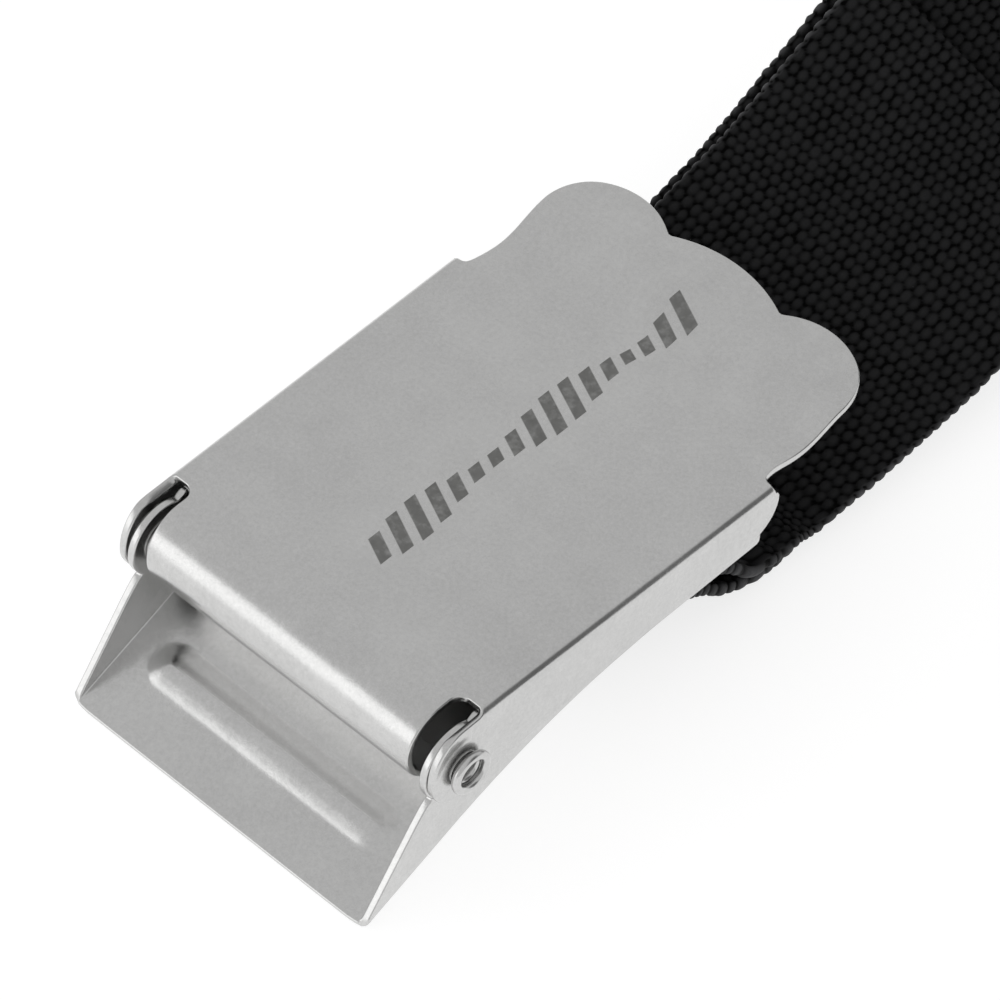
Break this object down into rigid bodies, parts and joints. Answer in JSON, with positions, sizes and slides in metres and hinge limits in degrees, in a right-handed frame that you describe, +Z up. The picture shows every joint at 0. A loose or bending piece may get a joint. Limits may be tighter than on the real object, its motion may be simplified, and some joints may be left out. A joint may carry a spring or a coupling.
{
  "type": "weight belt with cam-lever buckle",
  "caption": "Woven black weight belt threaded through a stamped steel cam-lever buckle with a scalloped finger tab; the run twists into a tied roll.",
  "frame": {"origin": "middle of the front lip's lower edge, on the surface the part lies on", "axes": "+X across the belt, +Y from the front lip towards the rolled belt, +Z up"},
  "size_m": [0.0929, 0.2539, 0.0524],
  "materials": {
    "frame_steel": "tumbled stainless",
    "lever_steel": "tumbled stainless",
    "rivet_steel": "rolled rim",
    "belt_webbing": "woven nylon",
    "tie_band": "hook and loop"
  },
  "bodies": {
    "belt_and_frame": {"frame": "frame_steel", "rivet_left": "rivet_steel", "rivet_right": "rivet_steel", "webbing": "belt_webbing", "webbing_roll": "belt_webbing", "roll_tie": "tie_band"},
    "lever": {"lever": "lever_steel"}
  },
  "joints": [
    {"name": "lever_hinge", "type": "hinge", "parent": "belt_and_frame", "child": "lever", "pos_m": [0, 0.017, 0.0204], "axis": [1, 0, 0], "range_deg": [0, 120]}
  ]
}
